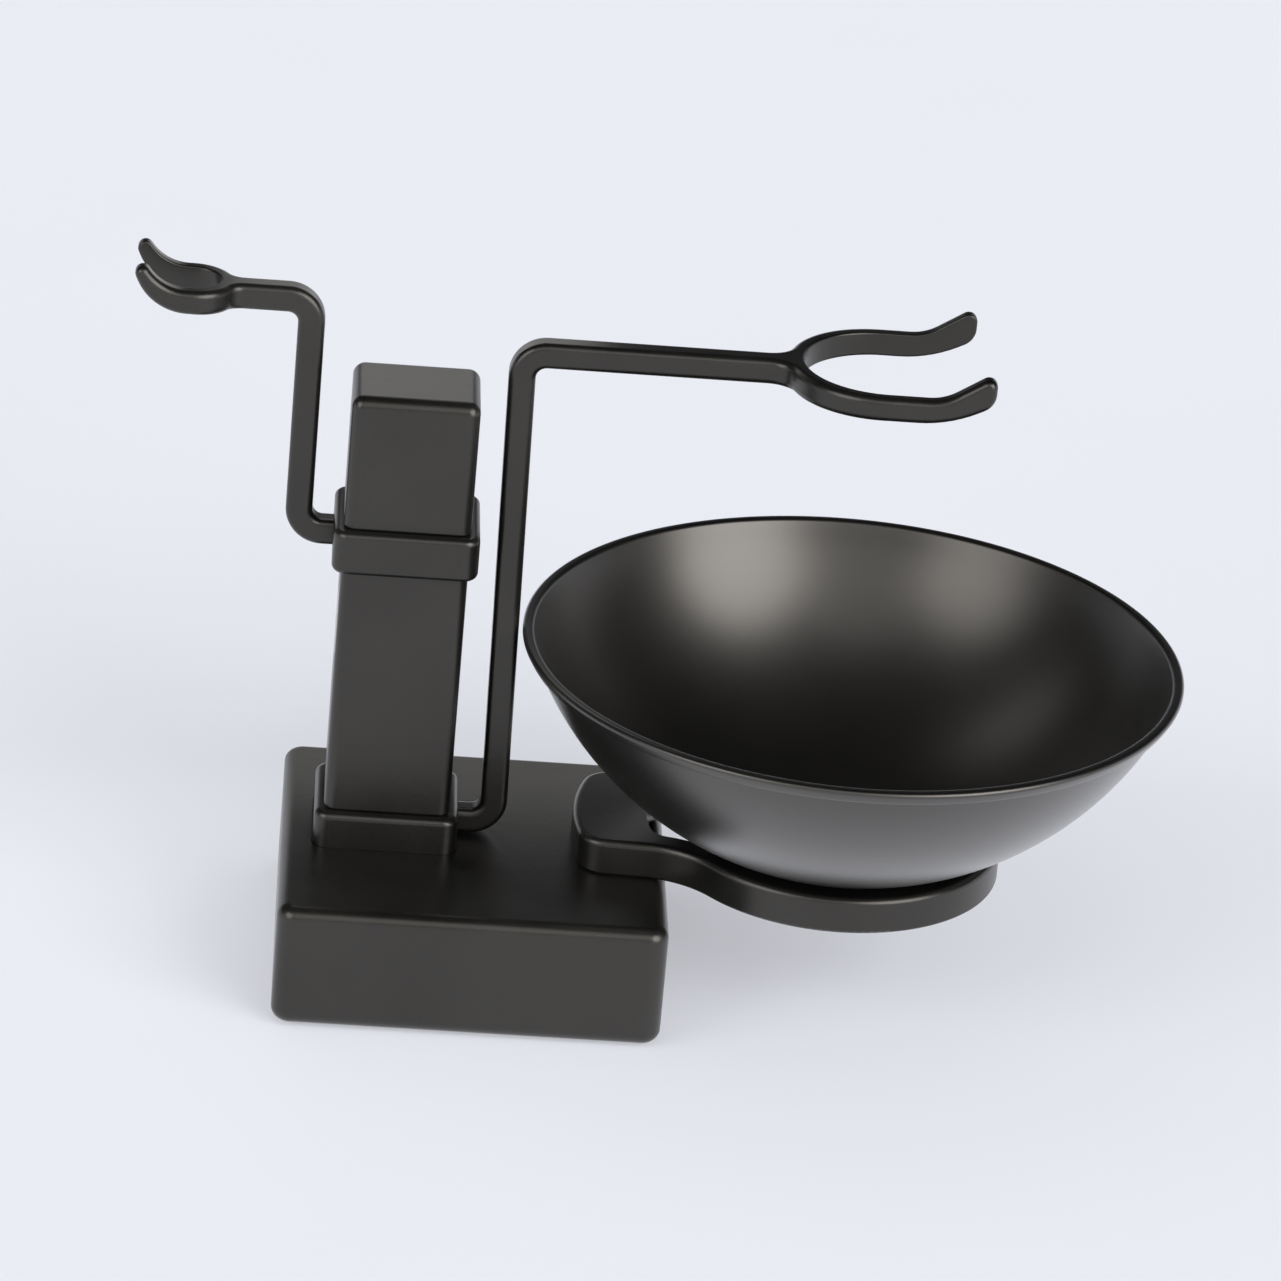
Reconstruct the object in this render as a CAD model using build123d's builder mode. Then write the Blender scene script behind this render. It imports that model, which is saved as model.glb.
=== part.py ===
"""Shaving stand: weighted base, stacked post, two fork arms and a bowl on a ring tray.

Millimetres. X runs to the viewer's right, Y away from the viewer, Z up.
The origin is the centre of the underside, on the surface that the stand rests on.
"""
import math
import os
from build123d import *

# ---- base block ---------------------------------------------------------------
base_width = 60.0            # X
base_depth = 60.0            # Y
base_height = 19.8           # cast shell alone
base_corner_radius = 3.0
base_top_edge_radius = 2.0
base_bottom_edge_radius = 2.2
base_wall = 5.0
base_roof = 3.0
underside_rim = 3.5          # width of the shell's rim round the recess
plate_corner_radius = 1.5
pad_thickness = 1.6
pad_proud = 0.6              # the pad lifts the shell this far off the table
plate_thickness = 1.2
recess_gap = 0.3             # round the plate and the pad

# ---- ballast --------------------------------------------------------------------
weight_thickness = 11.5
weight_gap = 0.4             # between ballast and shell wall
boss_diameter = 7.0
boss_inset = 2.5             # boss centre to cavity wall
boss_gap = 0.5

# ---- post: collar, tube, collar, cap --------------------------------------------
post_share = 0.2333          # post's centre line left of the base's middle, to the base's width
post_y = 2.0                 # behind the base's middle
post_width = 19.5
post_depth = 16.4
post_corner_radius = 1.8
tube_wall = 1.6
tube_length = 40.3
collar_proud = 1.45          # collar stands out from the tube all round
collar_height = 7.1
collar_pocket_depth = 1.2    # the lower collar is let into the base
collar_corner_radius = 2.4
collar_edge_radius = 1.1
pocket_gap = 0.1
spigot_height = 3.0
spigot_gap = 0.1
tube_end_radius = 0.35
bore_corner_radius = 0.8
cap_height = 21.6
cap_wall = 1.8
cap_roof = 2.4
cap_edge_radius = 1.9
insert_height = 6.0
insert_gap = 0.5             # above the spigot, so that the rod pulls the cap down

# ---- tie rod and its nut ---------------------------------------------------------
rod_diameter = 5.0
rod_clearance = 0.25         # radial, through collars and base
rod_past_insert = 1.2
rod_past_nut = 1.2
rod_chamfer = 0.5
thread_gap = 0.05            # radial, between a thread and its tapped hole
nut_across_flats = 8.0
nut_height = 4.0
washer_diameter = 10.0
washer_thickness = 1.0
spring_washer_diameter = 8.8
spring_washer_thickness = 1.2
spring_washer_slot = 0.8
nut_pocket_gap = 1.2         # round the washer, for a socket key

# ---- arms ------------------------------------------------------------------------
bar_size = 4.1               # square bar
bar_edge_radius = 1.1
bend_radius = 3.7            # on the bar's centre line
tenon_size = 3.0
tenon_length = 4.0
tenon_gap = 0.05
fork_wall = 2.4
fork_relief = 0.35           # the prongs are this much thinner than the bar, from below
fork_inner_edge_radius = 0.35

brush_stub_drop = 3.7        # stub centre below the collar's top
brush_stub_length = 5.65     # collar face to the upright's centre line
brush_upright = 78.9         # between the centre lines of the stub and the level bar
brush_lean = 1.15            # the upright's head stands this far inboard of its foot
brush_level = 54.9           # upright's head to the centre of the fork's round end
brush_gap = 24.6             # between the prongs
brush_blend_radius = 4.0     # in the fork's crotch, outside
brush_prong = 16.0           # round end's centre to the front tip
brush_back_short = 1.2       # the back prong rises and ends this far short of the front one
brush_under_start = 4.4      # where the prong's underside begins to rise
brush_under_angle = 27.0
brush_under_bend = 20.0
brush_over_start = 6.0       # where its top begins to rise
brush_over_angle = 33.0
brush_over_bend = 7.5
brush_heel_radius = 3.0      # lower and upper corner of the tip
brush_tip_radius = 1.3

razor_stub_drop = 3.6
razor_stub_length = 5.45
razor_upright = 37.8
razor_lean = 0.0
razor_level = 18.35
razor_gap = 8.6
razor_blend_radius = 2.5
razor_prong = 8.5
razor_back_short = 0.0
razor_under_start = 0.4
razor_under_angle = 66.0
razor_under_bend = 8.5
razor_over_start = 0.65
razor_over_angle = 53.0
razor_over_bend = 7.0
razor_heel_radius = 1.2
razor_tip_radius = 1.15

# ---- bowl --------------------------------------------------------------------------
bowl_y = 0.0
bowl_sphere_radius = 54.0    # outside
bowl_depth = 35.1            # lowest point of that sphere to the top of the rim
bowl_wall = 0.9
bowl_foot_radius = 9.0
bowl_foot_blend = 14.0       # from the flat foot into the sphere
lip_height = 2.1             # thickened band under the rim
lip_proud_above = 1.0        # beyond the sphere, at the rim
lip_proud_below = 0.85       # beyond the sphere, at the band's lower edge
lip_edge_radius = 0.45
lip_lower_radius = 0.3
rim_gap = 0.28               # rim to the brush arm's upright

# ---- tray --------------------------------------------------------------------------
tray_thickness = 5.8
tray_ring_radius = 26.0
tray_band = 5.0              # width of the ring's band
tray_neck_half_width = 12.9
tray_on_base = 14.8          # how far the lobe lies on the base
tray_end_crown = 1.08        # radius of the lobe's end and of the opening's, to half their length
tray_lobe_corner_radius = 4.6
tray_neck_band = 4.0         # width of the neck's two sides
tray_neck_radius = 14.5      # hollow curve from neck to ring, outside
tray_opening_radius = 23.0   # the same curve along the opening
tray_opening_past_ring = 8.7 # the opening runs on into the neck this far past the ring's inside
tray_opening_corner = 3.2
tray_top_edge_radius = 1.0
tray_bottom_edge_radius = 0.5
tray_turn = -3.0             # degrees about the bowl's axis
seat_width = 1.0             # hollow seat on the ring's inner edge
seat_gap = 0.05              # bowl to its seat

# ---- small screws ------------------------------------------------------------------
tray_screw_diameter = 4.0
tray_screw_spacing = 13.0
tray_screw_from_end = 4.5
tray_screw_bite = 4.4        # thread inside the tray
tray_screw_head_diameter = 7.2
tray_screw_head_height = 2.6
tray_washer_diameter = 8.0
tray_washer_thickness = 0.8
screw_clearance = 0.25
drill_margin = 0.5           # tapped hole past the screw's end
head_pocket_gap = 0.6
plate_screw_diameter = 3.0
plate_screw_head_diameter = 5.4
plate_screw_length = 7.0
plate_screw_angle = 90
plate_screw_key = 2.0        # hexagon key, across flats
tray_screw_key = 2.5
key_depth = 1.2

# ---- derived heights and places ------------------------------------------------------
shell_bottom = pad_proud
base_top = shell_bottom + base_height
plate_bottom = pad_thickness
plate_top = plate_bottom + plate_thickness
roof_bottom = base_top - base_roof
weight_bottom = roof_bottom - weight_thickness
recess_width = base_width - 2 * underside_rim
recess_depth = base_depth - 2 * underside_rim
cavity_width = base_width - 2 * base_wall
cavity_depth = base_depth - 2 * base_wall
boss_x = cavity_width / 2 - boss_inset
boss_y = cavity_depth / 2 - boss_inset
boss_corner = boss_inset + boss_diameter / 2

post_x = -post_share * base_width
collar_width = post_width + 2 * collar_proud
collar_depth = post_depth + 2 * collar_proud
low_collar_bottom = base_top - collar_pocket_depth
low_collar_top = low_collar_bottom + collar_height
tube_top = low_collar_top + tube_length
high_collar_top = tube_top + collar_height
cap_top = high_collar_top + cap_height
insert_bottom = high_collar_top + spigot_height + insert_gap
insert_top = insert_bottom + insert_height
tube_bore = (post_width - 2 * tube_wall, post_depth - 2 * tube_wall, bore_corner_radius)
cap_bore = (post_width - 2 * cap_wall, post_depth - 2 * cap_wall, bore_corner_radius)

washer_stack = washer_thickness + spring_washer_thickness + nut_height
nut_bottom = weight_bottom + drill_margin
spring_washer_bottom = nut_bottom + nut_height
washer_bottom = spring_washer_bottom + spring_washer_thickness
nut_pocket_depth = drill_margin + washer_stack
rod_bottom = nut_bottom - rod_past_nut
rod_top = insert_top + rod_past_insert

brush_stub_z = low_collar_top - brush_stub_drop
razor_stub_z = high_collar_top - razor_stub_drop

tray_top = base_top + tray_thickness
seat_reach = tray_ring_radius - tray_band + seat_width
bowl_sphere_z = tray_top + math.sqrt((bowl_sphere_radius + seat_gap) ** 2 - seat_reach**2)
bowl_rim_height = bowl_sphere_z - bowl_sphere_radius + bowl_depth
rim_reach = math.sqrt(bowl_sphere_radius**2 - (bowl_sphere_radius - bowl_depth) ** 2) + lip_proud_above

# the bowl stands clear of the brush arm's upright, which leans a little
brush_foot_x = post_x + collar_width / 2 + brush_stub_length
lean_at_rim = brush_lean * (bowl_rim_height - lip_edge_radius - brush_stub_z) / brush_upright
bowl_x = brush_foot_x - lean_at_rim + bar_size / 2 + rim_gap + rim_reach
bowl_axis_frame = Plane(origin=(bowl_x, bowl_y, 0), x_dir=(1, 0, 0), z_dir=(0, -1, 0))
bowl_axis = Axis((bowl_x, bowl_y, 0), (0, 0, 1))

tray_lobe_x = base_width / 2 - tray_on_base
tray_lobe_reach = (bowl_x - tray_lobe_x) / math.cos(math.radians(tray_turn))
tray_frame = Plane(origin=(bowl_x, bowl_y, base_top), x_dir=Vector(1, 0, 0).rotate(Axis.Z, tray_turn))
tray_hole_x = tray_screw_from_end - tray_lobe_reach


def post_plane(height):
    """Level plane at a height, centred on the post."""
    return Plane(origin=(post_x, post_y, height))


def tray_screw_places():
    """The two screw centres, as plane origins under the tray."""
    offsets = (-tray_screw_spacing / 2, tray_screw_spacing / 2)
    return [tray_frame.from_local_coords(Vector(tray_hole_x, offset, 0)) for offset in offsets]


def finish(part, name):
    """Label a finished piece and write it under its own name."""
    part.label = name
    export_step(part, f"parts/{name}.step")


os.makedirs("parts", exist_ok=True)

# ---- base shell: a cast block, hollow from below ---------------------------------------
with BuildPart() as base_shell:
    with BuildSketch(Plane.XY.offset(shell_bottom)):
        RectangleRounded(base_width, base_depth, base_corner_radius)
    extrude(amount=base_height)
    fillet(base_shell.edges().group_by(Axis.Z)[-1], base_top_edge_radius)
    fillet(base_shell.edges().group_by(Axis.Z)[0], base_bottom_edge_radius)
    with BuildSketch(Plane.XY.offset(shell_bottom)):
        RectangleRounded(recess_width, recess_depth, plate_corner_radius)
    extrude(amount=plate_top - shell_bottom, mode=Mode.SUBTRACT)
    with BuildSketch(Plane.XY.offset(plate_top)):
        RectangleRounded(cavity_width, cavity_depth, plate_corner_radius)
    extrude(amount=roof_bottom - plate_top, mode=Mode.SUBTRACT)
    with BuildSketch(Plane.XY.offset(plate_top)):
        with GridLocations(2 * boss_x, 2 * boss_y, 2, 2):
            Circle(boss_diameter / 2)
    extrude(amount=roof_bottom - plate_top)
    with BuildSketch(Plane.XY.offset(plate_top)):
        with GridLocations(2 * boss_x, 2 * boss_y, 2, 2):
            Circle(plate_screw_diameter / 2 + thread_gap)
    extrude(amount=plate_screw_length + drill_margin, mode=Mode.SUBTRACT)
    with BuildSketch(post_plane(low_collar_bottom)):
        RectangleRounded(collar_width + 2 * pocket_gap, collar_depth + 2 * pocket_gap, collar_corner_radius)
    extrude(amount=collar_pocket_depth, mode=Mode.SUBTRACT)
    with BuildSketch(post_plane(roof_bottom)):
        Circle(rod_diameter / 2 + rod_clearance)
    extrude(amount=base_roof, mode=Mode.SUBTRACT)
    with BuildSketch(Plane.XY.offset(roof_bottom)):
        with Locations(*[(place.X, place.Y) for place in tray_screw_places()]):
            Circle(tray_screw_diameter / 2 + screw_clearance)
    extrude(amount=base_roof, mode=Mode.SUBTRACT)
finish(base_shell.part, "base_shell")

# ---- ballast slab that fills the shell --------------------------------------------------
with BuildPart() as base_weight:
    with BuildSketch(Plane.XY.offset(weight_bottom)):
        Rectangle(cavity_width - 2 * weight_gap, cavity_depth - 2 * weight_gap)
        with GridLocations(2 * boss_x, 2 * boss_y, 2, 2):
            Circle(boss_diameter / 2 + boss_gap, mode=Mode.SUBTRACT)
        with GridLocations(cavity_width - boss_corner, cavity_depth - boss_corner, 2, 2):
            Rectangle(boss_corner, boss_corner, mode=Mode.SUBTRACT)
    extrude(amount=weight_thickness)
    with BuildSketch(post_plane(weight_bottom)):
        Circle(rod_diameter / 2 + rod_clearance)
    extrude(amount=weight_thickness, mode=Mode.SUBTRACT)
    with BuildSketch(post_plane(weight_bottom)):
        Circle(washer_diameter / 2 + nut_pocket_gap)
    extrude(amount=nut_pocket_depth, mode=Mode.SUBTRACT)
    with BuildSketch(Plane.XY.offset(weight_bottom)):
        with Locations(*[(place.X, place.Y) for place in tray_screw_places()]):
            Circle(tray_washer_diameter / 2 + head_pocket_gap)
    extrude(amount=weight_thickness, mode=Mode.SUBTRACT)
finish(base_weight.part, "base_weight")

# ---- bottom plate, its four countersunk screws and the non-slip pad -----------------------
with BuildPart() as bottom_plate:
    with BuildSketch(Plane.XY.offset(plate_bottom)):
        RectangleRounded(recess_width - 2 * recess_gap, recess_depth - 2 * recess_gap, plate_corner_radius)
    extrude(amount=plate_thickness)
    with Locations(Plane.XY.offset(plate_bottom).rotated((180, 0, 0))):
        with GridLocations(2 * boss_x, 2 * boss_y, 2, 2):
            CounterSinkHole(
                plate_screw_diameter / 2 + screw_clearance,
                plate_screw_head_diameter / 2 + thread_gap,
                plate_thickness,
                plate_screw_angle,
            )
finish(bottom_plate.part, "bottom_plate")

with BuildPart() as bottom_plate_screws:
    head_depth = (plate_screw_head_diameter - plate_screw_diameter) / 2
    with BuildSketch(Plane.XY.offset(plate_bottom)):
        with GridLocations(2 * boss_x, 2 * boss_y, 2, 2):
            Circle(plate_screw_diameter / 2)
    extrude(amount=plate_thickness + plate_screw_length)
    with BuildSketch(Plane.XY.offset(plate_bottom)):
        with GridLocations(2 * boss_x, 2 * boss_y, 2, 2):
            Circle(plate_screw_head_diameter / 2)
    extrude(amount=head_depth, taper=plate_screw_angle / 2)
    with BuildSketch(Plane.XY.offset(plate_bottom)):
        with GridLocations(2 * boss_x, 2 * boss_y, 2, 2):
            RegularPolygon(plate_screw_key / 2, 6, major_radius=False)
    extrude(amount=key_depth, mode=Mode.SUBTRACT)
finish(bottom_plate_screws.part, "bottom_plate_screws")

with BuildPart() as non_slip_pad:
    with BuildSketch():
        RectangleRounded(recess_width - 2 * recess_gap, recess_depth - 2 * recess_gap, plate_corner_radius)
    extrude(amount=pad_thickness)
    fillet(non_slip_pad.edges().group_by(Axis.Z)[0], pad_proud / 2)
finish(non_slip_pad.part, "non_slip_pad")


# ---- collars: a block with locating spigots, bored for the rod, socketed for its arm -------
def collar(bottom, side, stub_height, bore_above, bore_below=None):
    """A collar whose arm leaves on its right (side 1) or left (side -1) face."""
    with BuildPart() as block:
        with BuildSketch(post_plane(bottom)):
            RectangleRounded(collar_width, collar_depth, collar_corner_radius)
        extrude(amount=collar_height)
        fillet(block.edges().group_by(Axis.Z)[-1], collar_edge_radius)
        fillet(block.edges().group_by(Axis.Z)[0], collar_edge_radius)
        with BuildSketch(post_plane(bottom + collar_height)):
            RectangleRounded(*spigot_for(bore_above))
        extrude(amount=spigot_height)
        if bore_below:
            with BuildSketch(post_plane(bottom)):
                RectangleRounded(*spigot_for(bore_below))
            extrude(amount=-spigot_height)
        with BuildSketch(post_plane(bottom - spigot_height)):
            Circle(rod_diameter / 2 + rod_clearance)
        extrude(amount=collar_height + 2 * spigot_height, mode=Mode.SUBTRACT)
        with BuildSketch(stub_plane(side, stub_height)):
            Rectangle(tenon_size + 2 * tenon_gap, tenon_size + 2 * tenon_gap)
        extrude(amount=-tenon_length - tenon_gap, mode=Mode.SUBTRACT)
    return block.part


def spigot_for(bore):
    """Width, depth and corner radius of the spigot that fits a bore."""
    width, depth, radius = bore
    return width - 2 * spigot_gap, depth - 2 * spigot_gap, radius


def collar_reach(side):
    """Outward distance of the collar's side face, measured along X."""
    return side * post_x + collar_width / 2


def stub_plane(side, stub_height):
    """The collar's side face, looking outward, centred on the arm's stub."""
    face = (side * collar_reach(side), post_y, stub_height)
    return Plane(origin=face, x_dir=(0, 1, 0), z_dir=(side, 0, 0))


finish(collar(low_collar_bottom, 1, brush_stub_z, tube_bore), "brush_collar")
finish(collar(tube_top, -1, razor_stub_z, cap_bore, tube_bore), "razor_collar")

# ---- post tube between the collars ------------------------------------------------------------
with BuildPart() as post_tube:
    with BuildSketch(post_plane(low_collar_top)):
        RectangleRounded(post_width, post_depth, post_corner_radius)
    extrude(amount=tube_length)
    fillet(post_tube.edges().group_by(Axis.Z)[-1], tube_end_radius)
    fillet(post_tube.edges().group_by(Axis.Z)[0], tube_end_radius)
    with BuildSketch(post_plane(low_collar_top)):
        RectangleRounded(*tube_bore)
    extrude(amount=tube_length, mode=Mode.SUBTRACT)
finish(post_tube.part, "post_tube")

# ---- cap, hollow from below, and the tapped insert that the rod pulls on ------------------------
with BuildPart() as post_cap:
    with BuildSketch(post_plane(high_collar_top)):
        RectangleRounded(post_width, post_depth, post_corner_radius)
    extrude(amount=cap_height)
    fillet(post_cap.edges().group_by(Axis.Z)[-1], cap_edge_radius)
    fillet(post_cap.edges().group_by(Axis.Z)[0], tube_end_radius)
    with BuildSketch(post_plane(high_collar_top)):
        RectangleRounded(*cap_bore)
    extrude(amount=cap_height - cap_roof, mode=Mode.SUBTRACT)
finish(post_cap.part, "post_cap")

with BuildPart() as cap_insert:
    with BuildSketch(post_plane(insert_bottom)):
        RectangleRounded(*cap_bore)
        Circle(rod_diameter / 2 + thread_gap, mode=Mode.SUBTRACT)
    extrude(amount=insert_height)
finish(cap_insert.part, "cap_insert")

# ---- tie rod with its nut, spring washer and flat washer ------------------------------------------
with BuildPart() as tie_rod:
    with BuildSketch(post_plane(rod_bottom)):
        Circle(rod_diameter / 2)
    extrude(amount=rod_top - rod_bottom)
    chamfer(tie_rod.edges().filter_by(GeomType.CIRCLE), rod_chamfer)
finish(tie_rod.part, "tie_rod")

with BuildPart() as rod_nut:
    with BuildSketch(post_plane(nut_bottom)):
        RegularPolygon(nut_across_flats / 2, 6, major_radius=False)
        Circle(rod_diameter / 2 + thread_gap, mode=Mode.SUBTRACT)
    extrude(amount=nut_height)
finish(rod_nut.part, "rod_nut")

with BuildPart() as spring_washer:
    with BuildSketch(post_plane(spring_washer_bottom)):
        Circle(spring_washer_diameter / 2)
        Circle(rod_diameter / 2 + rod_clearance, mode=Mode.SUBTRACT)
        with Locations((spring_washer_diameter / 2, 0)):
            Rectangle(spring_washer_diameter, spring_washer_slot, mode=Mode.SUBTRACT)
    extrude(amount=spring_washer_thickness)
finish(spring_washer.part, "spring_washer")

with BuildPart() as rod_washer:
    with BuildSketch(post_plane(washer_bottom)):
        Circle(washer_diameter / 2)
        Circle(rod_diameter / 2 + rod_clearance, mode=Mode.SUBTRACT)
    extrude(amount=washer_thickness)
finish(rod_washer.part, "rod_washer")


# ---- arms: a square bar bent in one upright plane, ending in a fork with turned-up tips ------------
near = 0.01                  # how closely faces and edges are told apart
bend_limit = 0.97            # most of a prong's rise that its bend may take


def rising_edge(foot, run, angle, bend):
    """Draw an edge that bends up from a level line and runs on straight; return its tip."""
    slope = math.radians(angle)
    radius = min(bend, bend_limit * run / math.sin(slope))
    arc = CenterArc((foot[0], foot[1] + radius), radius, -90, angle)
    straight = run - radius * math.sin(slope)
    tip = (foot[0] + run, (arc @ 1).Y + straight * math.tan(slope))
    Line(arc @ 1, tip)
    return tip


def outward_walls(faces):
    """The arm's upright faces that look away from its middle plane."""
    return [face for face in faces if face.normal_at().Y * (face.center().Y - post_y) > near]


def inward_walls(faces, radius):
    """The fork's upright faces that look into its gap, the round end among them."""
    level = faces.filter_by(lambda face: abs(face.normal_at().Z) < near)
    cylinders = level.filter_by(GeomType.CYLINDER)
    round_end = [face for face in cylinders if abs(face.radius - radius) < near]
    prongs = [face for face in level if face.normal_at().Y * (face.center().Y - post_y) < -near]
    return [*round_end, *prongs]


def border(walls, start_x):
    """Edges round a run of walls, without the seams inside it and the stub's end."""
    edges = [edge for wall in walls for edge in wall.edges()]
    rim = [edge for edge in edges if sum(edge.is_same(other) for other in edges) == 1]
    return [edge for edge in rim if abs((edge @ 0.5).X - start_x) > near]


def arm(side, stub_z, stub_length, upright, lean, level, gap, blend, prong, back_short, under, over, corners):
    """One arm, drawn outward from the collar: to the right (side 1) or to the left (side -1).

    under and over are the start, angle and bend of the prong's lower and upper edge; corners are
    the radii of the tip's lower and upper corner.
    """
    start = collar_reach(side)
    foot_reach = start + stub_length
    head_reach = foot_reach - lean
    fork_reach = head_reach + level
    bar_z = stub_z + upright
    low_z = bar_z - bar_size / 2
    high_z = bar_z + bar_size / 2
    outer = gap / 2 + fork_wall
    root = fork_reach - outer
    side_frame = Plane(origin=(0, post_y, 0), x_dir=(side, 0, 0), z_dir=(0, -side, 0))
    plan_frame = Plane(origin=(0, post_y, stub_z - bar_size), x_dir=(side, 0, 0))
    with BuildPart() as bar:
        # seen from the side: stub, upright, level bar and rising prong, front half then back half
        for toward, shortfall in ((side, 0), (-side, back_short)):
            with BuildSketch(side_frame) as profile:
                with BuildLine():
                    FilletPolyline(
                        (start, stub_z),
                        (foot_reach, stub_z),
                        (head_reach, bar_z),
                        (root, bar_z),
                        radius=bend_radius,
                    )
                trace(line_width=bar_size)
                with BuildLine():
                    under_foot = (fork_reach + under[0] - shortfall, low_z + fork_relief)
                    over_foot = (fork_reach + over[0] - shortfall, high_z)
                    heel = rising_edge(under_foot, prong - under[0], *under[1:])
                    tip = rising_edge(over_foot, prong - over[0], *over[1:])
                    Line(heel, tip)
                    relieved = (fork_reach, low_z + fork_relief)
                    Polyline(under_foot, relieved, (root, low_z), (root, high_z), over_foot)
                make_face()
                fillet(profile.vertices().group_by(Axis.X)[-1].sort_by(Axis.Y)[0], corners[0])
                fillet(profile.vertices().group_by(Axis.X)[-1].sort_by(Axis.Y)[-1], corners[1])
            extrude(amount=toward * side * 2 * outer)
        # seen from above: bar, round end and prongs, with the gap cut out
        with BuildSketch(plan_frame) as plan:
            with Locations(((start + fork_reach) / 2, 0)):
                Rectangle(fork_reach - start, bar_size)
            with Locations((fork_reach, 0)):
                Circle(outer)
            fillet(plan.vertices().group_by(Axis.X)[1], blend)
            with Locations((fork_reach + prong / 2, 0)):
                Rectangle(prong, 2 * outer)
            with Locations((fork_reach, 0)):
                Circle(gap / 2, mode=Mode.SUBTRACT)
            with Locations((fork_reach + prong / 2, 0)):
                Rectangle(prong, gap, mode=Mode.SUBTRACT)
        extrude(amount=upright + 2 * bar_size + 2 * prong, mode=Mode.INTERSECT)
        fillet(border(outward_walls(bar.faces()), side * start), bar_edge_radius)
        fillet(border(inward_walls(bar.faces(), gap / 2), side * start), fork_inner_edge_radius)
        with BuildSketch(stub_plane(side, stub_z)):
            Rectangle(tenon_size, tenon_size)
        extrude(amount=-tenon_length)
    return bar.part


brush_arm = arm(
    side=1,
    stub_z=brush_stub_z,
    stub_length=brush_stub_length,
    upright=brush_upright,
    lean=brush_lean,
    level=brush_level,
    gap=brush_gap,
    blend=brush_blend_radius,
    prong=brush_prong,
    back_short=brush_back_short,
    under=(brush_under_start, brush_under_angle, brush_under_bend),
    over=(brush_over_start, brush_over_angle, brush_over_bend),
    corners=(brush_heel_radius, brush_tip_radius),
)
finish(brush_arm, "brush_arm")

razor_arm = arm(
    side=-1,
    stub_z=razor_stub_z,
    stub_length=razor_stub_length,
    upright=razor_upright,
    lean=razor_lean,
    level=razor_level,
    gap=razor_gap,
    blend=razor_blend_radius,
    prong=razor_prong,
    back_short=razor_back_short,
    under=(razor_under_start, razor_under_angle, razor_under_bend),
    over=(razor_over_start, razor_over_angle, razor_over_bend),
    corners=(razor_heel_radius, razor_tip_radius),
)
finish(razor_arm, "razor_arm")


# ---- tray: a flat ring on a neck, solid where it is screwed to the base -------------------------------
def tray_outline(ring_radius, half_width, hollow_radius, reach, corner_radius):
    """Face of a ring joined by a neck to a crowned end; the ring's centre is the origin."""
    with BuildSketch() as outline:
        Circle(ring_radius)
        with Locations((-reach, 0)):
            Rectangle(2 * reach, 2 * half_width)
        fillet(outline.vertices().group_by(Axis.X)[1], hollow_radius)
        end_radius = tray_end_crown * (reach + ring_radius) / 2
        with Locations((end_radius - reach, 0)):
            Circle(end_radius, mode=Mode.INTERSECT)
        fillet(outline.vertices().group_by(Axis.X)[0], corner_radius)
    return outline.sketch


with BuildPart() as bowl_tray:
    with BuildSketch(tray_frame):
        add(tray_outline(
            tray_ring_radius,
            tray_neck_half_width,
            tray_neck_radius,
            tray_lobe_reach,
            tray_lobe_corner_radius,
        ))
    extrude(amount=tray_thickness)
    fillet(bowl_tray.edges().group_by(Axis.Z)[-1], tray_top_edge_radius)
    fillet(bowl_tray.edges().group_by(Axis.Z)[0], tray_bottom_edge_radius)
    with BuildSketch(tray_frame):
        add(tray_outline(
            tray_ring_radius - tray_band,
            tray_neck_half_width - tray_neck_band,
            tray_opening_radius,
            tray_ring_radius - tray_band + tray_opening_past_ring,
            tray_opening_corner,
        ))
    extrude(amount=tray_thickness, mode=Mode.SUBTRACT)
    with BuildSketch(bowl_axis_frame):
        with Locations((0, bowl_sphere_z)):
            Circle(bowl_sphere_radius + seat_gap)
            half_plane = (Align.MAX, Align.CENTER)
            Rectangle(2 * bowl_sphere_radius, 4 * bowl_sphere_radius, align=half_plane, mode=Mode.SUBTRACT)
    revolve(axis=bowl_axis, mode=Mode.SUBTRACT)
    with BuildSketch(Plane.XY.offset(base_top)):
        with Locations(*[(place.X, place.Y) for place in tray_screw_places()]):
            Circle(tray_screw_diameter / 2 + thread_gap)
    extrude(amount=tray_screw_bite + drill_margin, mode=Mode.SUBTRACT)
finish(bowl_tray.part, "bowl_tray")

with BuildPart() as tray_screws:
    with BuildSketch(Plane.XY.offset(base_top + tray_screw_bite)):
        with Locations(*[(place.X, place.Y) for place in tray_screw_places()]):
            Circle(tray_screw_diameter / 2)
    extrude(amount=-tray_screw_bite - base_roof - tray_washer_thickness)
    with BuildSketch(Plane.XY.offset(roof_bottom - tray_washer_thickness)):
        with Locations(*[(place.X, place.Y) for place in tray_screw_places()]):
            Circle(tray_screw_head_diameter / 2)
    extrude(amount=-tray_screw_head_height)
    with BuildSketch(Plane.XY.offset(roof_bottom - tray_washer_thickness - tray_screw_head_height)):
        with Locations(*[(place.X, place.Y) for place in tray_screw_places()]):
            RegularPolygon(tray_screw_key / 2, 6, major_radius=False)
    extrude(amount=key_depth, mode=Mode.SUBTRACT)
finish(tray_screws.part, "tray_screws")

with BuildPart() as tray_screw_washers:
    with BuildSketch(Plane.XY.offset(roof_bottom)):
        with Locations(*[(place.X, place.Y) for place in tray_screw_places()]):
            Circle(tray_washer_diameter / 2)
            Circle(tray_screw_diameter / 2 + screw_clearance, mode=Mode.SUBTRACT)
    extrude(amount=-tray_washer_thickness)
finish(tray_screw_washers.part, "tray_screw_washers")


# ---- bowl: a spun shell, part of a sphere, with a flat foot and a rolled rim ----------------------------
def sphere_point(sphere_radius, reach):
    """The point of the bowl's sphere at a reach from its axis, as reach and height."""
    return reach, bowl_sphere_z - math.sqrt(sphere_radius**2 - reach**2)


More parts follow.
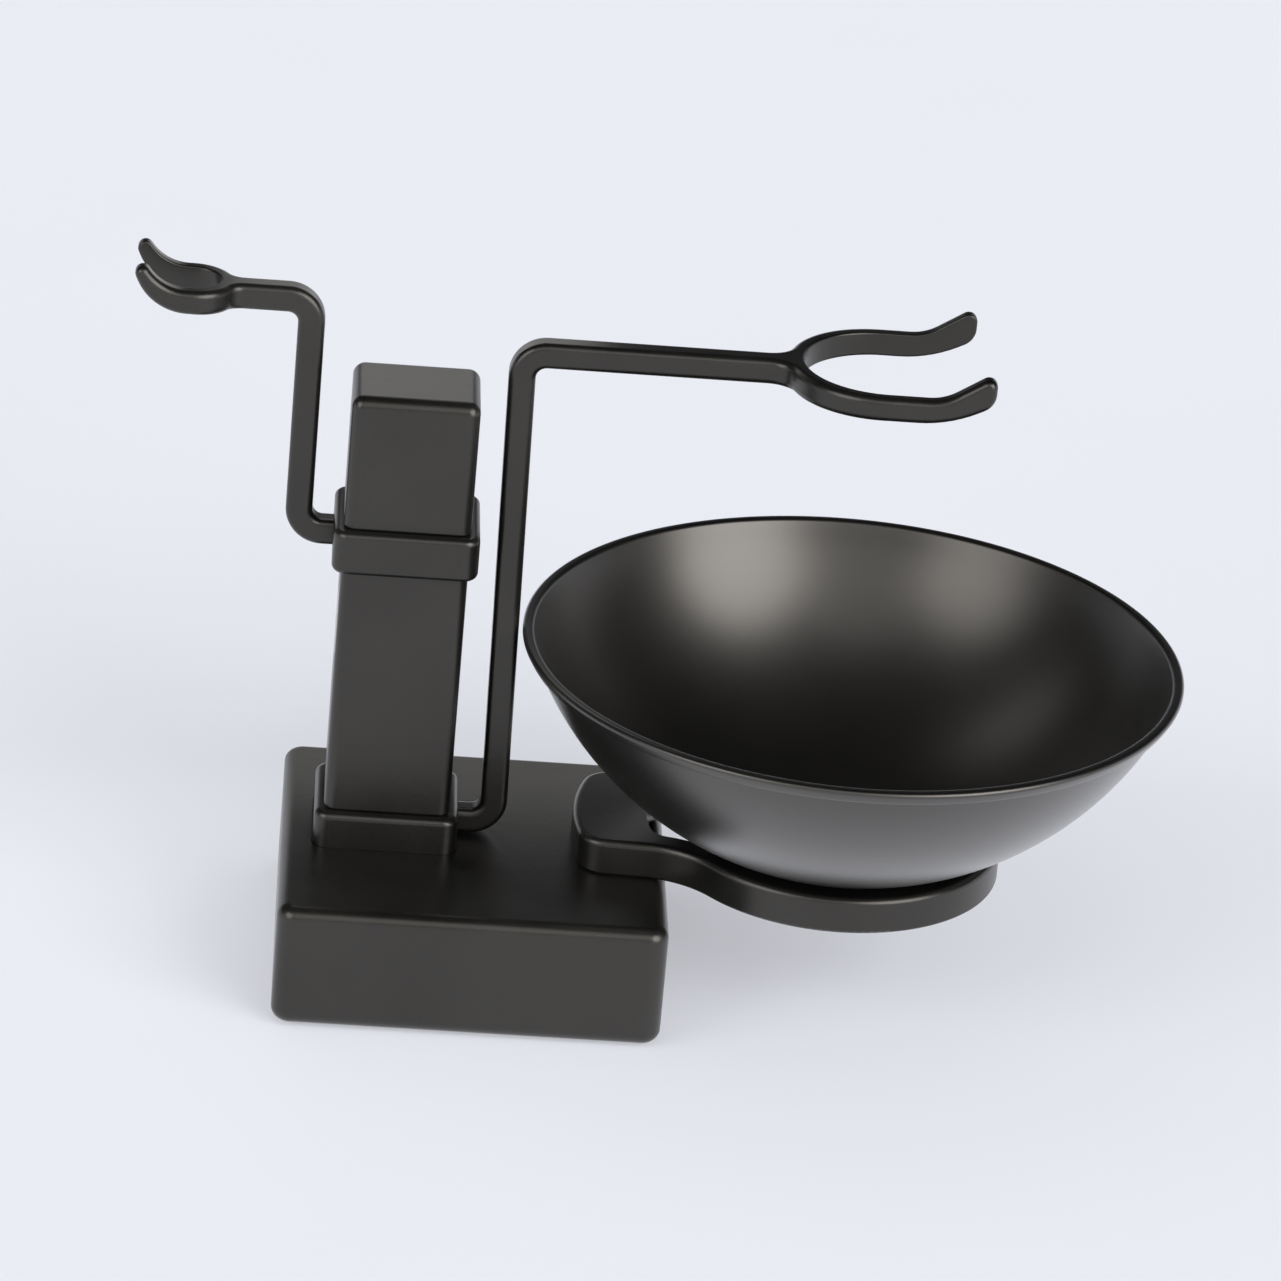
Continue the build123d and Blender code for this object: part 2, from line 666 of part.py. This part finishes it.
def reach_at(sphere_radius, height):
    """How far the sphere stands from the bowl's axis at a height."""
    return math.sqrt(sphere_radius**2 - (bowl_sphere_z - height) ** 2)


def sphere_arc(sphere_radius, first, last):
    """An arc up the sphere between two reaches."""
    middle = sphere_point(sphere_radius, (first + last) / 2)
    return ThreePointArc(sphere_point(sphere_radius, first), middle, sphere_point(sphere_radius, last))


def nearest(sketch, point):
    """The sketch's corner that lies nearest to a point of its plane."""
    return sketch.vertices().sort_by_distance(Vertex(*point, 0))[0]


with BuildPart() as bowl:
    inside_radius = bowl_sphere_radius - bowl_wall
    lip_bottom = bowl_rim_height - lip_height
    band_reach = reach_at(bowl_sphere_radius, lip_bottom)
    with BuildSketch(bowl_axis_frame) as section:
        with BuildLine():
            outside = sphere_arc(bowl_sphere_radius, bowl_foot_radius, band_reach)
            foot_height = (outside @ 0).Y
            floor_height = foot_height + bowl_wall
            floor_reach = reach_at(inside_radius, floor_height)
            inside = sphere_arc(inside_radius, floor_reach, reach_at(inside_radius, bowl_rim_height))
            band_foot = (band_reach + lip_proud_below, lip_bottom)
            rim_edge = (rim_reach, bowl_rim_height)
            Polyline(outside @ 1, band_foot, rim_edge, inside @ 1)
            Polyline(inside @ 0, (0, floor_height), (0, foot_height), outside @ 0)
        make_face()
        fillet(nearest(section, (bowl_foot_radius, foot_height)), bowl_foot_blend)
        fillet(nearest(section, (floor_reach, floor_height)), bowl_foot_blend)
        fillet(nearest(section, band_foot), lip_lower_radius)
        fillet(nearest(section, rim_edge), lip_edge_radius)
        fillet(nearest(section, (reach_at(inside_radius, bowl_rim_height), bowl_rim_height)), lip_edge_radius)
    revolve(axis=bowl_axis)
finish(bowl.part, "bowl")
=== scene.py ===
# %% [markdown]
# # A shaving stand
#
# The stand is a heavy block with a square post. The post carries a narrow fork for a razor on
# the left and a wide fork for a brush on the right, and a flat ring tray beside the block holds
# a loose bowl. All that shows of it is satin black: a powder coating on the stand, and a thinner
# black under a clear coat on the bowl.
#
# The solid model already has the shapes, so this script loads it as a fixed frame and gives it
# its surfaces, its light and its camera. Only the bowl is made once more, for a cleaner rim.

# %% Load the frame
import math

import bpy
from mathutils import Matrix, Vector


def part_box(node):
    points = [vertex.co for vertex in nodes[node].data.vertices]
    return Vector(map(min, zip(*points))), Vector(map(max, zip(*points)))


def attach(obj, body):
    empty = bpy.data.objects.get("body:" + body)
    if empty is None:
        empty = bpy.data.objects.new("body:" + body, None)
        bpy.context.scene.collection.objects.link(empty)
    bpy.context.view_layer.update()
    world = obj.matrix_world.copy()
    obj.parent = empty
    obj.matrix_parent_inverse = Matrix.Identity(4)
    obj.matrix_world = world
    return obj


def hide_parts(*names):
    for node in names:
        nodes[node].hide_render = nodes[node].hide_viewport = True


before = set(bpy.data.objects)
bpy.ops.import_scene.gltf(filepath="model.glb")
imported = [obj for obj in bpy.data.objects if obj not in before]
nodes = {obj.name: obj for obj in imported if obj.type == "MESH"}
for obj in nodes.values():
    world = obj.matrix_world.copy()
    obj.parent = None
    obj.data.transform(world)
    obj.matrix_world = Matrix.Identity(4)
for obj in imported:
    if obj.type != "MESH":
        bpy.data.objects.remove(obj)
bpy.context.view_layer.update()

# %% [markdown]
# ## Units and colours
#
# Blender works in metres and in linear light. Sizes are easier to judge in millimetres and
# colours as sRGB hex values, so two small functions do the conversions.

# %% Two conversions


def mm(length):
    """A length in millimetres, as metres."""
    return length / 1000


def colour(hex_value):
    """An sRGB hex value such as "#2b2a29", as linear red, green, blue and alpha."""
    linear = []
    for place in (1, 3, 5):
        share = int(hex_value[place:place + 2], 16) / 255
        linear.append(share / 12.92 if share <= 0.04045 else ((share + 0.055) / 1.055) ** 2.4)
    return (*linear, 1.0)


print("mid grey is", [round(x, 3) for x in colour("#808080")])

# %% [markdown]
# ## The camera
#
# The stand was photographed from a little above with a long lens, and the picture is turned a
# few degrees. A long lens keeps upright edges nearly parallel. The camera is turned in three
# steps: up from looking straight down, round to its heading, and last about its own line of
# sight, which tilts the picture.

# %% Place the camera
camera_spot = Vector((mm(-37.47), mm(-940.55), mm(481.47)))
looks_down = math.radians(24.313)
heading = math.radians(-3.694)
tilt = math.radians(5.25)
frame_pixels = 1281
lens_in_pixels = 6700
sensor_width = 36           # Blender counts sensors and lenses in millimetres

camera_data = bpy.data.cameras.new("long_lens")
camera_data.sensor_width = sensor_width
camera_data.lens = sensor_width * lens_in_pixels / frame_pixels
camera_data.clip_start = mm(10)
camera = bpy.data.objects.new("camera", camera_data)
bpy.context.scene.collection.objects.link(camera)
turn = Matrix.Rotation(heading, 4, "Z") @ Matrix.Rotation(math.radians(90) - looks_down, 4, "X")
camera.matrix_world = Matrix.Translation(camera_spot) @ turn @ Matrix.Rotation(tilt, 4, "Z")
bpy.context.scene.camera = camera
print(f"lens {camera_data.lens:.0f} mm, {camera_spot.length:.2f} m from the stand's foot")

# %% [markdown]
# ## One function for nodes
#
# A material is a small network of nodes, and so is the light of the room. Each node is added in
# the same three moves: create it, set its properties, and give each input a number, a colour or
# a link from another node. One function does all three, so every material below reads as a list
# of what feeds what.

# %% The node function


def add_node(owner, kind, settings, inputs):
    """Add a node to a material or a world; an input that is a socket is linked, others are set."""
    tree = owner.node_tree
    node = tree.nodes.new(kind)
    for name, value in settings.items():
        setattr(node, name, value)
    for name, value in inputs.items():
        if isinstance(value, bpy.types.NodeSocket):
            tree.links.new(value, node.inputs[name])
        else:
            node.inputs[name].default_value = value
    return node


# %% [markdown]
# ## Starting and giving a material
#
# Every material starts with the same two nodes, and every solid gets its finish in the same
# way: through the material slots that its object already has. So each is a function as well.

# %% Start and give


def new_material(name):
    """An empty material with its output node and Principled shader in place."""
    material = bpy.data.materials.new(name)
    material.use_nodes = True
    material.node_tree.nodes.clear()
    shader = add_node(material, "ShaderNodeBsdfPrincipled", {}, {})
    add_node(material, "ShaderNodeOutputMaterial", {}, {"Surface": shader.outputs["BSDF"]})
    return material, shader


def dress(material, *names):
    """Give a material to every slot of the named nodes."""
    for name in names:
        for slot in nodes[name].material_slots:
            slot.material = material
    print(f"{material.name}: {', '.join(names)}")


# %% [markdown]
# ## Satin black powder coating
#
# The block, the post, the collars, the arms and the tray are zinc castings and steel bar with a
# black powder coating. Powder is sprayed on dry and melted in an oven. It flows out into a
# skin that is smooth but never quite flat: low waves a millimetre or two across, which soften
# every reflection, and a finer grain on top. The black is a little warm, and it isn't equally
# dense everywhere.
#
# So the colour drifts between two near blacks over a few centimetres, the roughness varies with
# it, and two noises, one for the waves and one for the grain, bend the surface. A cured coating
# has an IOR of about 1.5. It is set a little higher here, matched to how the real faces shine.

# %% Sizes of the coating
wave_width = mm(1.6)
grain_width = mm(0.28)      # the real grain is nearer 0.1 mm; it is drawn coarser so that it shows
drift_width = mm(26)
grain_share = 0.35          # how far the grain breaks up the slow drift
darkest_at = 0.36           # noise stays near its middle, so the two blacks lie close around it
lightest_at = 0.66
smoothest_at = 0.35
roughest_at = 0.65
print(f"waves {wave_width * 1000:.1f} mm, grain {grain_width * 1000:.2f} mm across")

# %% Powder coating


def powder_coat(name, dark, light, shine, smooth, rough, wave_depth, grain_depth, ior):
    """A coated surface: two near blacks, a range of roughness and the skin's two reliefs."""
    material, shader = new_material(name)
    place = add_node(material, "ShaderNodeTexCoord", {}, {}).outputs["Object"]
    drift = add_node(material, "ShaderNodeTexNoise", {}, {
        "Vector": place, "Scale": 1 / drift_width, "Detail": 3.0, "Roughness": 0.55})
    grain = add_node(material, "ShaderNodeTexNoise", {}, {
        "Vector": place, "Scale": 1 / grain_width, "Detail": 2.0, "Roughness": 0.6})
    wave = add_node(material, "ShaderNodeTexNoise", {}, {
        "Vector": place, "Scale": 1 / wave_width, "Detail": 1.0, "Roughness": 0.4})
    blotch = add_node(material, "ShaderNodeMix", {"data_type": "FLOAT"}, {
        "Factor": grain_share, "A": drift.outputs["Fac"], "B": grain.outputs["Fac"]})
    tone = add_node(material, "ShaderNodeValToRGB", {}, {"Fac": blotch.outputs["Result"]})
    tone.color_ramp.elements[0].position = darkest_at
    tone.color_ramp.elements[0].color = colour(dark)
    tone.color_ramp.elements[1].position = lightest_at
    tone.color_ramp.elements[1].color = colour(light)
    gloss = add_node(material, "ShaderNodeMapRange", {}, {
        "Value": blotch.outputs["Result"], "From Min": smoothest_at, "From Max": roughest_at,
        "To Min": smooth, "To Max": rough})
    waves = add_node(material, "ShaderNodeBump", {}, {
        "Height": wave.outputs["Fac"], "Strength": 1.0, "Distance": wave_depth})
    skin = add_node(material, "ShaderNodeBump", {}, {
        "Height": grain.outputs["Fac"], "Strength": 1.0, "Distance": grain_depth,
        "Normal": waves.outputs["Normal"]})
    tree = material.node_tree
    tree.links.new(tone.outputs["Color"], shader.inputs["Base Color"])
    tree.links.new(gloss.outputs["Result"], shader.inputs["Roughness"])
    tree.links.new(skin.outputs["Normal"], shader.inputs["Normal"])
    shader.inputs["IOR"].default_value = ior
    shader.inputs["Specular Tint"].default_value = colour(shine)
    return material


powder_black = powder_coat(
    "powder_coat_satin_black", dark="#050505", light="#181817", shine="#fff9f0",
    smooth=0.28, rough=0.36, wave_depth=mm(0.014), grain_depth=mm(0.008), ior=1.65)
dress(powder_black, "base_shell", "brush_collar", "razor_collar", "post_tube", "post_cap")
dress(powder_black, "brush_arm", "razor_arm", "bowl_tray")

# %% [markdown]
# ## The bowl's section
#
# The real bowl is spun: a disc of thin steel is pressed over a turning form, and the rim is
# rolled into a small bead. The solid model has this shape too, but its mesh is cut into uneven
# triangles, and along the narrow rim they show as a ragged line. So the bowl that is seen is
# made once more the way that a lathe hand would think of it, as one section and a turn.
#
# The section starts and ends on the axis: out along the foot, up the outside of a sphere, over
# the bead, and back down the inside. Its reach, rim and foot come from the solid bowl's box.

# %% Sizes of the section
bowl_low, bowl_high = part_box("bowl")
bowl_x = (bowl_low.x + bowl_high.x) / 2
rim_reach = (bowl_high.x - bowl_low.x) / 2
rim_height = bowl_high.z
foot_height = bowl_low.z
foot_reach = mm(9)
foot_blend = mm(14)
bowl_wall = mm(0.9)
outside_radius = mm(54)
inside_radius = outside_radius - bowl_wall
sphere_height = foot_height + math.sqrt(outside_radius**2 - foot_reach**2)   # of its centre
print(f"rim {rim_reach * 2000:.1f} mm across, {(rim_height - foot_height) * 1000:.1f} mm high")

# %% [markdown]
# ## Arcs of the section
#
# Every round stretch is an arc about its own centre. Angles are counted from straight down:
# 90 degrees points away from the axis and 180 points up. Where an arc has to run smoothly into
# the sphere, its centre lies on a line through the sphere's centre.

# %% Arcs
blend_steps = 6
sphere_steps = 28


def arc(reach, height, radius, first, last, steps):
    """Points on an arc, each a reach from the bowl's axis and a height."""
    turns = [math.radians(first + (last - first) * step / steps) for step in range(steps + 1)]
    return [(reach + radius * math.sin(turn), height - radius * math.cos(turn)) for turn in turns]


def dish(radius, floor_height, last):
    """One face of the wall: a flat middle, a blend, and a sphere up to an angle."""
    centre_reach = math.sqrt(
        (radius - foot_blend) ** 2 - (sphere_height - floor_height - foot_blend) ** 2)
    meets = math.degrees(math.asin(centre_reach / (radius - foot_blend)))
    blend = arc(centre_reach, floor_height + foot_blend, foot_blend, 0, meets, blend_steps)
    sphere = arc(0, sphere_height, radius, meets, last, sphere_steps)
    return [(0, floor_height)] + blend + sphere[1:]


print(f"the sphere's centre is {(sphere_height - foot_height) * 1000:.1f} mm above the foot")

# %% [markdown]
# ## Outside and bead
#
# The outside sphere ends where the bead begins, about 2 mm below the rim. A rolled bead has no
# sharp edge: a tight arc leads out of the wall into a short leaning side, and a wider arc takes
# over from the side and goes up to the highest point.

# %% Outside and bead
bead_height = mm(2.1)
bead_proud = mm(0.95)
bead_foot_round = mm(0.3)
bead_slope = 66             # degrees; where the foot's arc hands over to the side
outer_round = mm(0.6)
bead_low = rim_height - bead_height
outside_end = math.degrees(math.acos((sphere_height - bead_low) / outside_radius))
outside = dish(outside_radius, foot_height, outside_end)
bead_foot = arc(
    outside[-1][0] + bead_proud - bead_foot_round, bead_low + bead_foot_round, bead_foot_round,
    first=0, last=bead_slope, steps=4)
bead_top = arc(
    rim_reach - outer_round, rim_height - outer_round, outer_round,
    first=bead_slope, last=180, steps=10)
print(f"the outside runs up to {outside_end:.1f} degrees, {len(outside)} points")

# %% [markdown]
# ## Inside and the whole section
#
# The rim's inner edge is an arc that touches the inside sphere from within the wall. Its centre
# is therefore as far from the sphere's centre as both radii together. The inside is worked out
# from the axis outwards like the outside, and then taken backwards, so that the whole section
# is one line from axis to axis.

# %% Inside and section
inner_round = mm(0.8)
inner_centre_depth = sphere_height - rim_height + inner_round
inner_centre_reach = math.sqrt((inside_radius + inner_round) ** 2 - inner_centre_depth**2)
inside_end = math.degrees(math.atan2(inner_centre_reach, inner_centre_depth))
inside = dish(inside_radius, foot_height + bowl_wall, inside_end)
inner_edge = arc(
    inner_centre_reach, rim_height - inner_round, inner_round,
    first=180, last=180 + inside_end, steps=8)
section = outside + bead_foot + bead_top + inner_edge + inside[-2::-1]
print(len(section), "points in the section")

# %% [markdown]
# ## Drawing the section
#
# A plane merged to a single point is the pencil. The point is moved to the foot's middle and
# then extruded along the section, one move for each stretch, and it leaves a line behind.

# %% Draw the section
bpy.ops.object.select_all(action="DESELECT")
bpy.ops.mesh.primitive_plane_add(size=mm(1), location=(0, 0, 0))
spun_bowl = bpy.context.object
spun_bowl.name = "spun_bowl"
bpy.ops.object.mode_set(mode="EDIT")
bpy.ops.mesh.select_all(action="SELECT")
bpy.ops.mesh.merge(type="CENTER")
bpy.ops.transform.translate(value=(bowl_x + section[0][0], 0, section[0][1]))
for here, there in zip(section, section[1:]):
    move = (there[0] - here[0], 0, there[1] - here[1])
    bpy.ops.mesh.extrude_vertices_move(TRANSFORM_OT_translate={"value": move})
print("the section is drawn in", len(section) - 1, "moves")

# %% [markdown]
# ## Spinning the section
#
# The line is spun once round the bowl's axis in even steps, so the faces along the rim are all
# alike. The two ends lie on the axis, where the spin leaves doubles, so those are merged. Then
# the normals are worked out again, because a spin can leave a shell inside out.

# %% Spin it
spin_steps = 240
doubles_within = mm(0.001)
smooth_below = math.radians(40)
bpy.ops.mesh.select_all(action="SELECT")
bpy.ops.mesh.spin(
    steps=spin_steps, angle=math.radians(360), center=(bowl_x, 0, 0), axis=(0, 0, 1))
bpy.ops.mesh.select_all(action="SELECT")
bpy.ops.mesh.remove_doubles(threshold=doubles_within)
bpy.ops.mesh.normals_make_consistent(inside=False)
bpy.ops.object.mode_set(mode="OBJECT")
bpy.ops.object.shade_smooth_by_angle(angle=smooth_below)
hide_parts("bowl")
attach(spun_bowl, "bowl")
print(f"spun bowl: {len(spun_bowl.data.polygons)} faces")

# %% [markdown]
# ## The bowl's coating
#
# The bowl has the same black laid on thinner and smoother, with a clear satin coat over it. Its
# reflections are wide and soft without any waves, so the relief is shallower and the roughness
# more even. The clear coat makes the outside of the bowl mirror the pale ground strongly where
# it is seen at a slant, while the inside, which is seen straight on, stays darker.

# %% Bowl coating
bowl_black = powder_coat(
    "satin_clear_coat_on_black_spun_steel", dark="#080808", light="#0d0d0c", shine="#fff4e6",
    smooth=0.32, rough=0.37, wave_depth=mm(0.004), grain_depth=mm(0.003), ior=1.6)
bowl_shader = bowl_black.node_tree.nodes["Principled BSDF"]
bowl_shader.inputs["Coat Weight"].default_value = 1.0
bowl_shader.inputs["Coat Roughness"].default_value = 0.34
bowl_shader.inputs["Coat IOR"].default_value = 1.5
dress(bowl_black, "bowl")
spun_bowl.data.materials.append(bowl_black)

# %% [markdown]
# ## Zinc-plated steel
#
# The rod, its nut and washers, the screws, the insert and the bottom plate never see daylight.
# They are bright zinc-plated steel: a bluish white metal with a patchy sheen, because the
# plating crystals grow unevenly. A metal's colour is its reflection, so the patches go into the
# roughness and only slightly into the colour.
#
# A Mix node has several inputs of the same name, one for each kind of value that it can mix, so
# its two colours and its mixed colour are asked for by number.

# %% Zinc plating
first_colour = 6
second_colour = 7
mixed_colour = 2
plating_width = mm(1.2)
plating_depth = mm(0.01)
zinc, zinc_shader = new_material("zinc_plated_steel")
zinc_place = add_node(zinc, "ShaderNodeTexCoord", {}, {}).outputs["Object"]
zinc_patch = add_node(zinc, "ShaderNodeTexNoise", {}, {
    "Vector": zinc_place, "Scale": 1 / plating_width, "Detail": 4.0})
zinc_tone = add_node(zinc, "ShaderNodeMix", {"data_type": "RGBA"}, {
    "Factor": zinc_patch.outputs["Fac"],
    first_colour: colour("#b4b9be"), second_colour: colour("#cfd2d4")})
zinc_gloss = add_node(zinc, "ShaderNodeMapRange", {}, {
    "Value": zinc_patch.outputs["Fac"], "To Min": 0.22, "To Max": 0.42})
zinc_bump = add_node(zinc, "ShaderNodeBump", {}, {
    "Height": zinc_patch.outputs["Fac"], "Strength": 1.0, "Distance": plating_depth})
zinc.node_tree.links.new(zinc_tone.outputs[mixed_colour], zinc_shader.inputs["Base Color"])
zinc.node_tree.links.new(zinc_gloss.outputs["Result"], zinc_shader.inputs["Roughness"])
zinc.node_tree.links.new(zinc_bump.outputs["Normal"], zinc_shader.inputs["Normal"])
zinc_shader.inputs["Metallic"].default_value = 1.0
dress(zinc, "bottom_plate", "bottom_plate_screws", "tie_rod", "rod_nut", "spring_washer")
dress(zinc, "rod_washer", "cap_insert", "tray_screws", "tray_screw_washers")

# %% [markdown]
# ## Sand-cast iron
#
# The ballast slab is left as it comes from the sand mould: dark grey, dull, and pitted with the
# print of sand grains about half a millimetre across. A cell pattern gives the grains and a
# slow noise gives the stains of the skin that forms as iron cools.

# %% Cast iron
sand_width = mm(0.5)
sand_depth = mm(0.06)
stain_width = mm(9)
iron, iron_shader = new_material("cast_iron_sand_cast")
iron_place = add_node(iron, "ShaderNodeTexCoord", {}, {}).outputs["Object"]
iron_sand = add_node(iron, "ShaderNodeTexVoronoi", {}, {
    "Vector": iron_place, "Scale": 1 / sand_width})
iron_stain = add_node(iron, "ShaderNodeTexNoise", {}, {
    "Vector": iron_place, "Scale": 1 / stain_width, "Detail": 5.0})
iron_tone = add_node(iron, "ShaderNodeMix", {"data_type": "RGBA"}, {
    "Factor": iron_stain.outputs["Fac"],
    first_colour: colour("#45423f"), second_colour: colour("#6a6560")})
iron_bump = add_node(iron, "ShaderNodeBump", {}, {
    "Height": iron_sand.outputs["Distance"], "Strength": 1.0, "Distance": sand_depth})
iron.node_tree.links.new(iron_tone.outputs[mixed_colour], iron_shader.inputs["Base Color"])
iron.node_tree.links.new(iron_bump.outputs["Normal"], iron_shader.inputs["Normal"])
iron_shader.inputs["Metallic"].default_value = 0.6
iron_shader.inputs["Roughness"].default_value = 0.68
dress(iron, "base_weight")

# %% [markdown]
# ## Moulded rubber
#
# The pad under the block is a sheet of black rubber. A rubber mould is blasted, which leaves a
# fine matt stipple, and rubber greys a little where it is handled.

# %% Rubber pad
stipple_width = mm(0.7)
stipple_depth = mm(0.08)
bloom_width = mm(14)
rubber, rubber_shader = new_material("rubber_moulded_matt")
rubber_place = add_node(rubber, "ShaderNodeTexCoord", {}, {}).outputs["Object"]
rubber_stipple = add_node(rubber, "ShaderNodeTexVoronoi", {"feature": "SMOOTH_F1"}, {
    "Vector": rubber_place, "Scale": 1 / stipple_width})
rubber_bloom = add_node(rubber, "ShaderNodeTexNoise", {}, {
    "Vector": rubber_place, "Scale": 1 / bloom_width, "Detail": 4.0})
rubber_tone = add_node(rubber, "ShaderNodeMix", {"data_type": "RGBA"}, {
    "Factor": rubber_bloom.outputs["Fac"],
    first_colour: colour("#181818"), second_colour: colour("#2e2d2c")})
rubber_bump = add_node(rubber, "ShaderNodeBump", {}, {
    "Height": rubber_stipple.outputs["Distance"], "Strength": 1.0, "Distance": stipple_depth})
rubber.node_tree.links.new(rubber_tone.outputs[mixed_colour], rubber_shader.inputs["Base Color"])
rubber.node_tree.links.new(rubber_bump.outputs["Normal"], rubber_shader.inputs["Normal"])
rubber_shader.inputs["Roughness"].default_value = 0.82
dress(rubber, "non_slip_pad")

# %% [markdown]
# ## The floor
#
# The stand is shown on plain pale paper with a breath of blue in it. The sheet is 8 m wide, so
# none of its edges comes into any view. Its tone drifts a little, as a real sheet's does.

# %% Paper
sheet_width = 8             # metres
cloud_width = mm(140)
bpy.ops.object.select_all(action="DESELECT")
bpy.ops.mesh.primitive_plane_add(size=sheet_width, location=(0, 0, 0))
floor = bpy.context.object
floor.name = "floor"
floor_paper, floor_shader = new_material("paper_pale_matt")
floor_place = add_node(floor_paper, "ShaderNodeTexCoord", {}, {}).outputs["Object"]
floor_cloud = add_node(floor_paper, "ShaderNodeTexNoise", {}, {
    "Vector": floor_place, "Scale": 1 / cloud_width, "Detail": 2.0})
floor_tone = add_node(floor_paper, "ShaderNodeMix", {"data_type": "RGBA"}, {
    "Factor": floor_cloud.outputs["Fac"],
    first_colour: colour("#e9ebf3"), second_colour: colour("#eef0f7")}).outputs[mixed_colour]
floor_paper.node_tree.links.new(floor_tone, floor_shader.inputs["Base Color"])
floor_shader.inputs["Roughness"].default_value = 0.9
floor_shader.inputs["Specular IOR Level"].default_value = 0.1
print("floor", floor.dimensions.x, "m wide")

# %% [markdown]
# ## The paper's own light
#
# The paper is lit like everything else, and so it keeps the stand's shadow. Black things throw
# a heavy shadow though, and a photographer would lift it with more paper all round. Light Path
# does that here: where the paper is seen by the camera, part of its light is its own even tone,
# and where it is seen in a reflection, all of it is. A strength of 1 shows the tone as written.

# %% Even paper
own_light_share = 0.45      # where the camera sees the paper directly
ray = add_node(floor_paper, "ShaderNodeLightPath", {}, {})
seen_directly = add_node(floor_paper, "ShaderNodeMath", {"operation": "MULTIPLY"}, {
    0: ray.outputs["Is Camera Ray"], 1: own_light_share})
seen_at_all = add_node(floor_paper, "ShaderNodeMath", {"operation": "MAXIMUM"}, {
    0: seen_directly.outputs["Value"], 1: ray.outputs["Is Glossy Ray"]})
seen_or_through = add_node(floor_paper, "ShaderNodeMath", {"operation": "MAXIMUM"}, {
    0: seen_at_all.outputs["Value"], 1: ray.outputs["Is Transmission Ray"]})
even_paper = add_node(floor_paper, "ShaderNodeEmission", {}, {
    "Color": floor_tone, "Strength": 1.0})
lit_and_even = add_node(floor_paper, "ShaderNodeMixShader", {}, {
    0: seen_or_through.outputs["Value"], 1: floor_shader.outputs["BSDF"],
    2: even_paper.outputs["Emission"]})
floor_output = floor_paper.node_tree.nodes["Material Output"]
floor_paper.node_tree.links.new(lit_and_even.outputs["Shader"], floor_output.inputs["Surface"])
floor_paper.cycles.emission_sampling = "NONE"
floor.data.materials.append(floor_paper)
print(f"the camera sees {own_light_share:.0%} of the paper as its own even light")

# %% [markdown]
# ## Light
#
# A black satin object shows little colour of its own. What is seen is mostly the room. Two
# large soft boxes stand in front, one to each side, and make the two soft glows inside the
# bowl. The weaker light of a window between them joins the glows near the rim. All three are
# far off, so they are made as sun lamps with the angle that such a light fills, and the floor
# is lit as evenly far away as it is close by.
#
# A fourth light fills the shadows from above. A photographer would shield it from the glossy
# faces that look up, so it is left out of the reflections.

# %% Soft boxes


def far_light(name, azimuth, elevation, spread, strength):
    """A soft light far away; azimuth 0 is in front of the stand and 90 to its right."""
    turn_round = math.radians(azimuth)
    rise = math.radians(elevation)
    outward = Vector((
        math.sin(turn_round) * math.cos(rise),
        -math.cos(turn_round) * math.cos(rise),
        math.sin(rise)))
    lamp_data = bpy.data.lights.new(name, "SUN")
    lamp_data.angle = math.radians(spread)
    lamp_data.energy = strength
    lamp = bpy.data.objects.new(name, lamp_data)
    bpy.context.scene.collection.objects.link(lamp)
    lamp.location = outward
    lamp.rotation_euler = outward.to_track_quat("Z", "Y").to_euler()
    print(f"{name}: from {azimuth} degrees round and {elevation} up, {spread} degrees wide")
    return lamp


far_light("soft_box_right", azimuth=44, elevation=26, spread=46, strength=2.25)
far_light("soft_box_left", azimuth=-51, elevation=27, spread=38, strength=1.05)
far_light("window_in_front", azimuth=-5, elevation=38, spread=44, strength=0.45)
overhead = far_light("overhead_fill", azimuth=0, elevation=90, spread=120, strength=1.3)
overhead.visible_glossy = False

# %% [markdown]
# ## Two cards behind the stand
#
# The flat tops of the block and of the post's cap mirror what is low behind them. Two small
# cards stand there, out of the picture, as a photographer sets them to give a black top a
# bright far edge that fades toward the front. They are so near that only the far edge sees
# them well. The camera doesn't see them at all.

# %% Cards
card_lean = math.radians(65)


def small_card(name, place, width, height, watts):
    """A small pale card close behind the stand, turned to the front and leaning forward."""
    card_data = bpy.data.lights.new(name, "AREA")
    card_data.shape = "RECTANGLE"
    card_data.size = width
    card_data.size_y = height
    card_data.energy = watts
    card = bpy.data.objects.new(name, card_data)
    bpy.context.scene.collection.objects.link(card)
    card.location = place
    card.rotation_euler = (-card_lean, 0, 0)
    card.visible_camera = False
    print(f"{name}: {width * 1000:.0f} by {height * 1000:.0f} mm")


small_card(
    "card_behind_block", place=(mm(-13), mm(50), mm(33)),
    width=mm(106), height=mm(16), watts=0.0033)
small_card(
    "card_behind_cap", place=(mm(-14), mm(64), mm(130)),
    width=mm(60), height=mm(46), watts=0.008)

# %% [markdown]
# ## The room
#
# The room is pale just above the floor and dark higher up. The narrow pale band is what the
# upright faces mirror at a slant, and the dark part keeps the bottom of the bowl and the front
# of the block's top dark.

# %% World
band_full = 4               # degrees above the floor
band_gone = 13
world = bpy.data.worlds.new("room_pale_below_dark_above")
bpy.context.scene.world = world
world.use_nodes = True
look = add_node(world, "ShaderNodeTexCoord", {}, {})
height = add_node(world, "ShaderNodeSeparateXYZ", {}, {"Vector": look.outputs["Generated"]})
tone_by_height = add_node(world, "ShaderNodeValToRGB", {}, {"Fac": height.outputs["Z"]})
tone_by_height.color_ramp.elements[0].position = math.sin(math.radians(band_full))
tone_by_height.color_ramp.elements[0].color = colour("#e9ecf4")
tone_by_height.color_ramp.elements[1].position = math.sin(math.radians(band_gone))
tone_by_height.color_ramp.elements[1].color = colour("#121213")
room = world.node_tree
room.links.new(tone_by_height.outputs["Color"], room.nodes["Background"].inputs["Color"])
bpy.context.scene.view_settings.view_transform = "Standard"
print(f"the room turns dark between {band_full} and {band_gone} degrees up")
